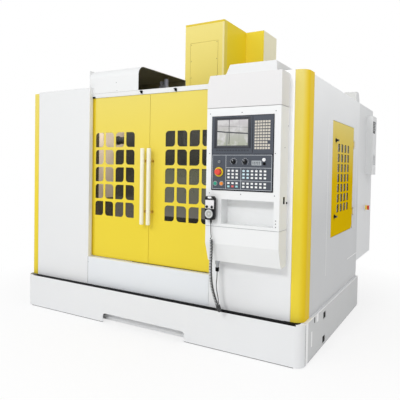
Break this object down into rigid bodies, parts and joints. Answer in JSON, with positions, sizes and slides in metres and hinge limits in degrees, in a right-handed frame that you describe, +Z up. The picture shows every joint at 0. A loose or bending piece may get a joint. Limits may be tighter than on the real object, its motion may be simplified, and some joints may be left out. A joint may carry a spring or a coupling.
{
  "type": "vertical machining center",
  "caption": "Enclosed vertical machining center with sliding glazed doors, a moving table and head, a tool magazine, a console with hanging handwheel and a rear cabinet.",
  "frame": {"origin": "bottom centre of the machine's box, on the floor", "axes": "+X to the operator's right, +Y to the rear, +Z up"},
  "size_m": [2.516, 2.4004, 2.526],
  "materials": {
    "white_sheet": "semi-gloss powder coat",
    "yellow_sheet": "semi-gloss powder coat",
    "cast_paint": "satin machine enamel",
    "ground_steel": "ground",
    "table_iron": "milled",
    "dark_panel": "fine matt",
    "screen_glass": "polished",
    "door_glass": "polished, smoke tint",
    "black_plastic": "fine texture",
    "key_plastic": "smooth",
    "red_plastic": "glossy",
    "green_plastic": "glossy",
    "amber_plastic": "glossy",
    "handle_paint": "glossy",
    "zinc": "plated",
    "pump_paint": "satin",
    "cord_rubber": "matt"
  },
  "bodies": {
    "machine": {"base_front": "white_sheet", "base_sides": "white_sheet", "coolant_tank": "white_sheet", "leveling_feet": "zinc", "bed_casting": "cast_paint", "column_casting": "cast_paint", "feed_drives": "ground_steel", "corner_posts": "yellow_sheet", "left_front_panel": "white_sheet", "lower_front_panel": "white_sheet", "right_front_panel": "white_sheet", "left_rear_panels": "white_sheet", "side_panel_right": "white_sheet", "chip_pans": "white_sheet", "door_header": "white_sheet", "roof_covers": "white_sheet", "electrical_cabinet": "white_sheet", "control_gear": "black_plastic", "heat_exchanger": "white_sheet", "console_cap": "white_sheet", "console_body": "white_sheet", "console_lower": "white_sheet", "cnc_unit": "dark_panel", "cnc_screen": "screen_glass", "operator_panel": "dark_panel", "panel_keys": "key_plastic", "pendant_body": "black_plastic", "pendant_lead": "cord_rubber", "pendant_curl": "cord_rubber", "pendant_tail": "cord_rubber", "cord_connector": "zinc", "column_cover": "white_sheet", "tool_changer": "pump_paint"},
    "door_left": {"door_left": "yellow_sheet", "door_left_pane": "door_glass", "door_left_handle": "handle_paint"},
    "door_right": {"door_right": "yellow_sheet", "door_right_pane": "door_glass", "door_right_handle": "handle_paint"},
    "service_door": {"service_door": "yellow_sheet"},
    "latch_lower": {"latch_lower": "black_plastic"},
    "latch_upper": {"latch_upper": "black_plastic"},
    "cabinet_door": {"cabinet_door": "white_sheet"},
    "main_switch": {"main_switch": "red_plastic"},
    "estop_button": {"estop_button": "red_plastic"},
    "start_button": {"start_button": "green_plastic"},
    "stop_button": {"stop_button": "amber_plastic"},
    "key_switch": {"key_switch": "zinc"},
    "feed_knob": {"feed_knob": "black_plastic"},
    "spindle_knob": {"spindle_knob": "black_plastic"},
    "pendant_wheel": {"pendant_wheel": "black_plastic"},
    "axis_selector": {"axis_selector": "black_plastic"},
    "step_selector": {"step_selector": "black_plastic"},
    "saddle": {"saddle": "cast_paint"},
    "table": {"table": "table_iron"},
    "head": {"headstock": "cast_paint", "headstock_cover": "yellow_sheet"},
    "spindle": {"spindle": "ground_steel"},
    "magazine": {"tool_magazine": "black_plastic"},
    "exchange_arm": {"exchange_arm": "ground_steel"}
  },
  "joints": [
    {"name": "door_left_slide", "type": "slide", "parent": "machine", "child": "door_left", "axis": [-1, 0, 0], "range_m": [0, 0.495]},
    {"name": "door_right_slide", "type": "slide", "parent": "machine", "child": "door_right", "axis": [1, 0, 0], "range_m": [0, 0.495]},
    {"name": "service_door_hinge", "type": "hinge", "parent": "machine", "child": "service_door", "pos_m": [1.2053, 0.33135, 1.156], "axis": [0, 0, 1], "range_deg": [0, 110]},
    {"name": "latch_lower_turn", "type": "hinge", "parent": "service_door", "child": "latch_lower", "pos_m": [1.198, -0.28515, 0.875], "axis": [1, 0, 0], "range_deg": [0, 90]},
    {"name": "latch_upper_turn", "type": "hinge", "parent": "service_door", "child": "latch_upper", "pos_m": [1.198, -0.28515, 1.445], "axis": [1, 0, 0], "range_deg": [0, 90]},
    {"name": "cabinet_door_hinge", "type": "hinge", "parent": "machine", "child": "cabinet_door", "pos_m": [0.3927, 1.18215, 1.116], "axis": [0, 0, 1], "range_deg": [0, 110]},
    {"name": "main_switch_turn", "type": "hinge", "parent": "machine", "child": "main_switch", "pos_m": [1.204, 0.89985, 0.865], "axis": [1, 0, 0], "range_deg": [0, 90]},
    {"name": "estop_press", "type": "slide", "parent": "machine", "child": "estop_button", "axis": [0, 1, 0], "range_m": [0, 0.005]},
    {"name": "start_press", "type": "slide", "parent": "machine", "child": "start_button", "axis": [0, 1, 0], "range_m": [0, 0.003], "stiffness_N_per_m": 400},
    {"name": "stop_press", "type": "slide", "parent": "machine", "child": "stop_button", "axis": [0, 1, 0], "range_m": [0, 0.003], "stiffness_N_per_m": 400},
    {"name": "key_turn", "type": "hinge", "parent": "machine", "child": "key_switch", "pos_m": [0.677, -1.14615, 1.264], "axis": [0, 1, 0], "range_deg": [0, 90]},
    {"name": "feed_knob_turn", "type": "hinge", "parent": "machine", "child": "feed_knob", "pos_m": [0.777, -1.14615, 1.266], "axis": [0, 1, 0], "range_deg": [-130, 130]},
    {"name": "spindle_knob_turn", "type": "hinge", "parent": "machine", "child": "spindle_knob", "pos_m": [0.856, -1.14615, 1.266], "axis": [0, 1, 0], "range_deg": [-130, 130]},
    {"name": "pendant_wheel_spin", "type": "hinge", "parent": "machine", "child": "pendant_wheel", "pos_m": [0.63, -1.18415, 0.93], "axis": [0, 1, 0], "continuous": true},
    {"name": "axis_selector_turn", "type": "hinge", "parent": "machine", "child": "axis_selector", "pos_m": [0.612, -1.18415, 0.974], "axis": [0, 1, 0], "range_deg": [-60, 60]},
    {"name": "step_selector_turn", "type": "hinge", "parent": "machine", "child": "step_selector", "pos_m": [0.648, -1.18415, 0.974], "axis": [0, 1, 0], "range_deg": [-60, 60]},
    {"name": "y_axis", "type": "slide", "parent": "machine", "child": "saddle", "axis": [0, 1, 0], "range_m": [-0.25, 0.25]},
    {"name": "x_axis", "type": "slide", "parent": "saddle", "child": "table", "axis": [1, 0, 0], "range_m": [-0.4, 0.4]},
    {"name": "z_axis", "type": "slide", "parent": "machine", "child": "head", "axis": [0, 0, 1], "range_m": [-0.5, 0]},
    {"name": "spindle_spin", "type": "hinge", "parent": "head", "child": "spindle", "pos_m": [-0.02, -0.01015, 1.51], "axis": [0, 0, 1], "continuous": true},
    {"name": "magazine_turn", "type": "hinge", "parent": "machine", "child": "magazine", "pos_m": [-0.738, -0.01015, 1.47], "axis": [1, 0, 0], "continuous": true},
    {"name": "exchange_arm_swing", "type": "hinge", "parent": "machine", "child": "exchange_arm", "pos_m": [-0.42, -0.01015, 1.06], "axis": [0, 0, 1], "range_deg": [0, 180]}
  ]
}
